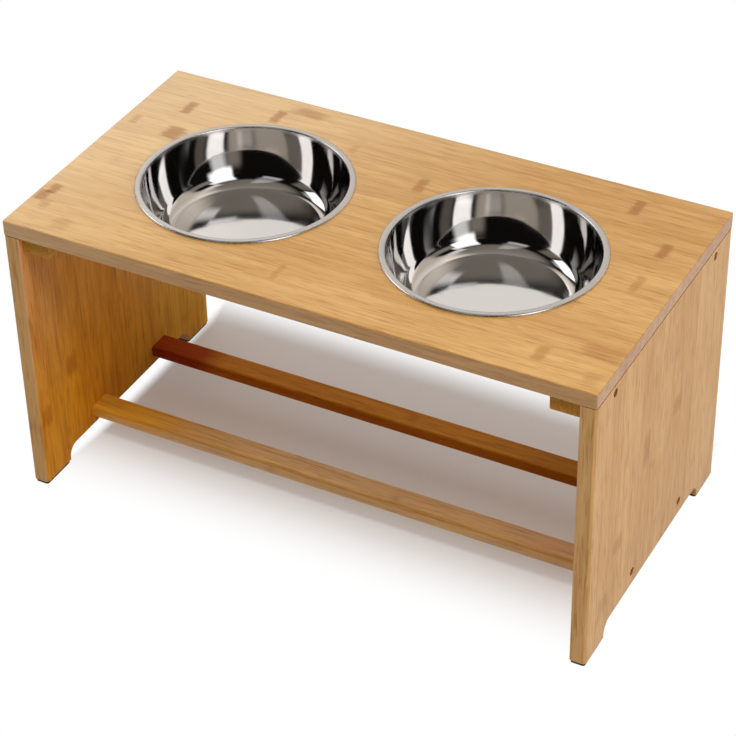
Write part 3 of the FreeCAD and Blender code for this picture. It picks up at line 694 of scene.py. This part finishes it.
BOWL_SHEET = 0.0008
BOWL_TAPER = math.radians(10)
BOWL_LOWER_TAPER = math.radians(28)
BOWL_BEND_SHARE = 0.43
BOWL_BEND_SPREAD = 0.85
BOWL_RIM_WIDTH = 0.0062
BOWL_RIM_HEIGHT = 0.0025
BOWL_MOUTH_ROUND = 0.0016
BOWL_RIM_ROUND = 0.0018
BOWL_CORNER_ROUND = 0.018
BOWL_EDGE_ROUND = 0.0002
BOWL_FOLD_ROUND = 0.0004
BOWL_TURNS = 224
LARGE_ROUND = 0.005
LARGE_ROUND_STEPS = 24
SMALL_ROUND_STEPS = 10
RUN_IN = 0.0002
RUN_IN_SHARE = 0.3
ON_AXIS = 1e-6


def rounded_line(corners):
    """Points along a line of (radius, height, rounding) corners, with an arc at each rounded corner. A point
    close to each end of an arc keeps the straight runs straight when the faces are smoothed."""
    points = [Vector(corners[0][:2])]
    for before, corner, after in zip(corners, corners[1:], corners[2:]):
        middle = Vector(corner[:2])
        rounding = corner[2]
        back = (Vector(before[:2]) - middle).normalized()
        ahead = (Vector(after[:2]) - middle).normalized()
        half_angle = back.angle(ahead) / 2
        reach = rounding / math.tan(half_angle)
        centre = middle + (back + ahead).normalized() * (rounding / math.sin(half_angle))
        start = middle + back * reach
        end = middle + ahead * reach
        run_in = min(RUN_IN, rounding * RUN_IN_SHARE)
        count = LARGE_ROUND_STEPS if rounding > LARGE_ROUND else SMALL_ROUND_STEPS
        points.append(start + back * run_in)
        for step in range(count + 1):
            spoke = (start - centre).slerp(end - centre, step / count)
            points.append(centre + spoke * rounding)
        points.append(end + ahead * run_in)
    points.append(Vector(corners[-1][:2]))
    return points


def spun(name, line, centre, turns):
    """A closed shell: a line from axis to axis turned round an upright axis."""
    shape = bmesh.new()
    rings = []
    for point in line:
        if point.x < ON_AXIS:
            rings.append([shape.verts.new((centre.x, centre.y, point.y))] * turns)
            continue
        ring = []
        for step in range(turns):
            angle = math.tau * step / turns
            spot = (centre.x + point.x * math.cos(angle), centre.y + point.x * math.sin(angle), point.y)
            ring.append(shape.verts.new(spot))
        rings.append(ring)
    for lower, upper in zip(rings, rings[1:]):
        for step in range(turns):
            corners = [lower[step], lower[step - 1], upper[step - 1], upper[step]]
            face = shape.faces.new(list(dict.fromkeys(corners)))
            face.smooth = True
    bmesh.ops.recalc_face_normals(shape, faces=shape.faces)
    mesh = bpy.data.meshes.new(name)
    shape.to_mesh(mesh)
    shape.free()
    piece = bpy.data.objects.new(name, mesh)
    bpy.context.scene.collection.objects.link(piece)
    return piece


STEEL_BRIGHT = linear(206, 204, 203)
STEEL_DULL = linear(196, 193, 191)
STEEL_FLAT = linear(238, 237, 238)
RUB_CLOUDS = 2600
RUB_DULL = 0.6
HAZE_CLOUDS = 40
HAZE_SHOWS = (0.4, 0.75)
HAZE_DULL = 0.4
WAVE_CLOUDS_ROUND = 30
WAVE_CLOUDS_UP = 16
STEEL_ROUGH = 0.03
RUB_ROUGHER = 0.03
HAZE_ROUGHER = 0.03
FLOOR_ROUGHER = 0.02
RIM_ROUGHER = 0.22
RIM_PALER = 0.5
FLOOR_BLEND = 0.006
RIM_BLEND = 0.001


def polished_steel(name, centre, floor_radius, mouth_radius):
    """Bright steel with faint rings left by polishing, and the slight waves of a pressed sheet."""
    material, shader, place = new_material(name)
    middle = (centre.x, centre.y, 0.0)
    centred = place.node("ShaderNodeVectorMath", {"operation": "SUBTRACT"}, {0: place, 1: middle})
    x, y, z = centred.axes("XYZ")
    radius = x.math("SQRT", x * x + y * y)
    rubs = place.noise(radius * RUB_CLOUDS, z * RUB_CLOUDS, 0.0)
    haze = place.noise(x * HAZE_CLOUDS, y * HAZE_CLOUDS, z * HAZE_CLOUDS, detail=3.0).rise(*HAZE_SHOWS)
    waves = place.noise(x * WAVE_CLOUDS_ROUND, y * WAVE_CLOUDS_ROUND, z * WAVE_CLOUDS_UP, detail=1.0)
    on_floor = radius.rise(floor_radius, floor_radius - FLOOR_BLEND)
    on_rim = radius.rise(mouth_radius - RIM_BLEND, mouth_radius)
    colour = (rubs * RUB_DULL + haze * HAZE_DULL).mix(STEEL_BRIGHT, STEEL_DULL)
    colour = (on_floor + on_rim * RIM_PALER).mix(colour, STEEL_FLAT)
    roughness = (STEEL_ROUGH + rubs * RUB_ROUGHER + haze * HAZE_ROUGHER + on_floor * FLOOR_ROUGHER
                 + on_rim * RIM_ROUGHER)
    feed(shader, Base_Color=colour, Metallic=1.0, Roughness=roughness,
         Normal=waves.bump(strength=0.38, distance=0.0006))
    return material


for side in SIDES:
    low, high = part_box(f"{side}_bowl")
    centre = (low + high) / 2
    rim_radius = (high.x - low.x) / 2
    rim_top = high.z
    seat = rim_top - BOWL_RIM_HEIGHT
    base = low.z
    floor_z = base + BOWL_SHEET
    mouth = rim_radius - BOWL_RIM_WIDTH
    depth = rim_top - floor_z
    slope = math.tan(BOWL_TAPER)
    lower_slope = math.tan(BOWL_LOWER_TAPER)
    half_turn = (BOWL_LOWER_TAPER - BOWL_TAPER) / 2
    bend_drop = BOWL_BEND_SHARE * depth
    bend = Vector((mouth - bend_drop * slope, rim_top - bend_drop))
    bend_round = BOWL_BEND_SPREAD * bend_drop / math.tan(half_turn)
    bend_sheet = BOWL_SHEET / math.cos(half_turn)
    outside = Vector((math.cos(BOWL_TAPER + half_turn), -math.sin(BOWL_TAPER + half_turn)))
    outer_bend = bend + outside * bend_sheet
    floor_corner = bend.x - (depth - bend_drop) * lower_slope
    base_corner = floor_corner + BOWL_SHEET * (1 / math.cos(BOWL_LOWER_TAPER) - lower_slope)
    rim_under = rim_top - BOWL_SHEET
    lip_inside = rim_radius - BOWL_SHEET
    wall_outside = mouth + BOWL_SHEET / math.cos(BOWL_TAPER) - BOWL_SHEET * slope
    line = rounded_line([
        (0.0, floor_z, 0.0), (floor_corner, floor_z, BOWL_CORNER_ROUND), (bend.x, bend.y, bend_round),
        (mouth, rim_top, BOWL_MOUTH_ROUND), (rim_radius, rim_top, BOWL_RIM_ROUND),
        (rim_radius, seat, BOWL_EDGE_ROUND), (lip_inside, seat, BOWL_EDGE_ROUND),
        (lip_inside, rim_under, BOWL_FOLD_ROUND), (wall_outside, rim_under, BOWL_FOLD_ROUND),
        (outer_bend.x, outer_bend.y, bend_round + BOWL_SHEET),
        (base_corner, base, BOWL_CORNER_ROUND + BOWL_SHEET), (0.0, base, 0.0),
    ])
    bowl = spun(f"{side}_bowl_polished", line, centre, BOWL_TURNS)
    bowl.data.materials.append(polished_steel(f"{side}_bowl_steel", centre, floor_corner, mouth))
    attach(bowl, f"{side}_bowl")
    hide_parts(f"{side}_bowl")


# Floor
# A plain white sheet that the stand is set on. Close to the stand it takes its shadow.
# Further out it is simply white to the eye and in the steel.

FLOOR_HALF = 6.0
FLOOR_WHITE = linear(208, 207, 206)
FLOOR_GLOW = (0.19, 0.163, 0.146, 1.0)
FLOOR_ROUGH = 0.9
TOOTH_CLOUDS = 300
WHITE = (1.0, 1.0, 1.0, 1.0)
WHITE_ROUND = (0.42, 0.75)
WHITE_AHEAD = (-0.02, -0.15)
WHITE_BESIDE = (0.266, 0.282)
WHITE_BEHIND = (0.15, 0.21)


def paper_floor(name):
    """Matt paper that is lit and shaded under the stand, and turns to plain white away from it."""
    material, shader, place = new_material(name)
    tree = material.node_tree
    x, y = place.axes("XY")
    away = x.math("SQRT", x * x + y * y).rise(*WHITE_ROUND)
    for clear in (y.rise(*WHITE_AHEAD), abs(x).rise(*WHITE_BESIDE), y.rise(*WHITE_BEHIND)):
        away = away.math("MAXIMUM", away, clear)
    seen = place.node("ShaderNodeLightPath", {}, {}, "Is Camera Ray")
    mirrored = place.node("ShaderNodeLightPath", {}, {}, "Is Glossy Ray")
    shown = seen.math("MAXIMUM", seen, mirrored)
    tooth = place.noise(x * TOOTH_CLOUDS, y * TOOTH_CLOUDS, 0.0)
    feed(shader, Base_Color=FLOOR_WHITE, Roughness=FLOOR_ROUGH, Specular_IOR_Level=0.0,
         Normal=tooth.bump(strength=0.1, distance=0.0003))
    paper = Wire(tree, shader.outputs[0])
    glow = place.node("ShaderNodeEmission", {}, {"Color": FLOOR_GLOW})
    lifted = place.node("ShaderNodeAddShader", {}, {0: paper, 1: glow})
    near = place.node("ShaderNodeMixShader", {}, {0: shown, 1: paper, 2: lifted})
    white = place.node("ShaderNodeEmission", {}, {"Color": WHITE})
    both = place.node("ShaderNodeMixShader", {}, {0: away * shown, 1: near, 2: white})
    tree.links.new(both.socket, tree.nodes["Material Output"].inputs["Surface"])
    return material


sheet = bpy.data.meshes.new("floor")
corners = [(-FLOOR_HALF, -FLOOR_HALF, 0), (FLOOR_HALF, -FLOOR_HALF, 0), (FLOOR_HALF, FLOOR_HALF, 0),
           (-FLOOR_HALF, FLOOR_HALF, 0)]
sheet.from_pydata(corners, [], [(0, 1, 2, 3)])
sheet.materials.append(paper_floor("floor_paper"))
floor = bpy.data.objects.new("floor", sheet)
bpy.context.scene.collection.objects.link(floor)


# Light
# A studio: one large soft lamp overhead and a little to the front, and a weaker one on the right.
# The polished bowls show the room round them: warm pale walls, bright softboxes and a dark front.

CAMERA_TURN = math.radians(28.595)
AMBIENT = (0.06, 0.06, 0.06, 1.0)
AMBIENT_BEHIND = (0.91, 0.91, 0.91, 1.0)
BEHIND_TURN = (60, 150)
BEHIND_HEIGHT = (75, 40)
ROOM_DARK = 0.006
WALL_TINT = (1.0, 0.9, 0.77)
# Each part of the room has its left, right, lower and upper edge, how soft they are, and its level
ROOM_WALLS = [
    (88, 156, 6, 68, 8, 0.72), (108, 136, 16, 26, 5, 0.4), (50, 90, 24, 40, 5, 0.3),
    (156, 192, -5, 60, 8, 0.4), (-192, -168, -5, 60, 8, 0.4), (-172, -145, 8, 50, 6, 0.75),
    (-145, -80, -5, 20, 8, 0.42), (-92, -70, 16, 44, 5, 0.2), (8, 24, 4, 20, 5, 0.25),
    (-200, 200, 58, 99, 8, 0.24),
]
ROOM_LIGHTS = [
    (20, 50, 20, 45, 3, 2.4), (18, 58, 41, 54, 3, 1.3), (26, 42, 2, 22, 4, 0.9), (54, 88, 56, 66, 4, 0.8),
    (164, 200, 27, 46, 6, 0.38), (-200, -164, 27, 46, 6, 0.38), (-135, -98, 23, 43, 3, 2.6),
    (-128, -106, 40, 50, 4, 0.6), (-50, -18, 46, 80, 6, 0.32), (-50, -22, 34, 46, 3, 0.55),
]


def studio_world():
    """Soft light for the wood and the floor, the room for the steel, and plain white for the eye."""
    world = bpy.data.worlds.new("studio")
    world.use_nodes = True
    tree = world.node_tree
    ray = Wire(tree, tree.nodes.new("ShaderNodeTexCoord").outputs["Generated"])

    def along(axis):
        return ray.node("ShaderNodeVectorMath", {"operation": "DOT_PRODUCT"}, {0: ray, 1: axis}, "Value")

    front = along((math.sin(CAMERA_TURN), -math.cos(CAMERA_TURN), 0.0))
    right = along((math.cos(CAMERA_TURN), math.sin(CAMERA_TURN), 0.0))
    turn = ray.math("ARCTAN2", right, front) * math.degrees(1)
    height = ray.math("ARCSINE", along((0.0, 0.0, 1.0))) * math.degrees(1)

    def room_part(left, right, lower, upper, soft, level):
        """A soft-edged part of the room, in degrees round from the camera's side and up from the floor."""
        across = turn.rise(left - soft, left + soft) * turn.rise(right + soft, right - soft)
        upright = height.rise(lower - soft, lower + soft) * height.rise(upper + soft, upper - soft)
        return across * upright * level

    walls = sum((room_part(*part) for part in ROOM_WALLS), ROOM_DARK)
    lights = sum(room_part(*part) for part in ROOM_LIGHTS)
    room = ray.point(*(lights + walls * tint for tint in WALL_TINT))
    behind = abs(turn).rise(*BEHIND_TURN) * height.rise(*BEHIND_HEIGHT)
    path = {name: ray.node("ShaderNodeLightPath", {}, {}, f"Is {name} Ray")
            for name in ("Camera", "Glossy", "Transmission")}
    mirrored = ray.math("MAXIMUM", path["Glossy"], path["Transmission"])
    soft, shown, plain = [ray.node("ShaderNodeBackground", {}, {"Color": colour})
                          for colour in (behind.mix(AMBIENT, AMBIENT_BEHIND), room, WHITE)]
    unseen = ray.node("ShaderNodeMixShader", {}, {0: mirrored, 1: soft, 2: shown})
    both = ray.node("ShaderNodeMixShader", {}, {0: path["Camera"], 1: unseen, 2: plain})
    tree.links.new(both.socket, tree.nodes["World Output"].inputs["Surface"])
    return world


bpy.context.scene.world = studio_world()


def soft_lamp(name, place, target, size, power):
    """A soft square lamp that lights the wood and the floor. The bowls show the room instead of it."""
    lamp = bpy.data.lights.new(name, "AREA")
    lamp.shape = "SQUARE"
    lamp.size = size
    lamp.energy = power
    holder = bpy.data.objects.new(name, lamp)
    aim = Vector(target) - Vector(place)
    holder.location = place
    holder.rotation_euler = aim.to_track_quat("-Z", "Y").to_euler()
    holder.visible_glossy = False
    bpy.context.scene.collection.objects.link(holder)


soft_lamp("overhead_lamp", place=(0.12, -0.55, 1.95), target=(0.0, 0.0, 0.2), size=0.8, power=28.0)
soft_lamp("right_lamp", place=(1.7, -0.1, 0.8), target=(0.2, 0.0, 0.15), size=0.9, power=14.5)


# Camera
# It stands at the photograph's angle and distance, turned a little about its own axis.
# Its place is worked out from the stand's middle on the floor.

CAMERA_RISE = math.radians(36.538)
CAMERA_ROLL = math.radians(-1.263)
CAMERA_ACROSS = -0.00427
CAMERA_UP = 0.10418
CAMERA_DISTANCE = 2.3631
CAMERA_LIFT = 0.0015
CAMERA_LENS = 119.68
CAMERA_SENSOR = 36.0
CAMERA_REACH = 50.0
GLOSSY_BOUNCES = 12
ALL_BOUNCES = 14

ground_share = math.cos(CAMERA_RISE)
towards = Vector((
    math.sin(CAMERA_TURN) * ground_share, -math.cos(CAMERA_TURN) * ground_share, math.sin(CAMERA_RISE),
))
level = Vector((math.cos(CAMERA_TURN), math.sin(CAMERA_TURN), 0.0))
roll = Matrix.Rotation(CAMERA_ROLL, 3, towards)
across_view = roll @ level
up_view = roll @ towards.cross(level)
eye = across_view * CAMERA_ACROSS + up_view * CAMERA_UP + towards * CAMERA_DISTANCE
eye.z += CAMERA_LIFT
camera = bpy.data.objects.new("camera", bpy.data.cameras.new("camera"))
camera.data.lens = CAMERA_LENS
camera.data.sensor_width = CAMERA_SENSOR
camera.data.clip_end = CAMERA_REACH
camera.matrix_world = Matrix.Translation(eye) @ Matrix((across_view, up_view, towards)).transposed().to_4x4()
bpy.context.scene.collection.objects.link(camera)
bpy.context.scene.camera = camera
bpy.context.scene.view_settings.view_transform = "Standard"
bpy.context.scene.cycles.glossy_bounces = GLOSSY_BOUNCES
bpy.context.scene.cycles.max_bounces = ALL_BOUNCES
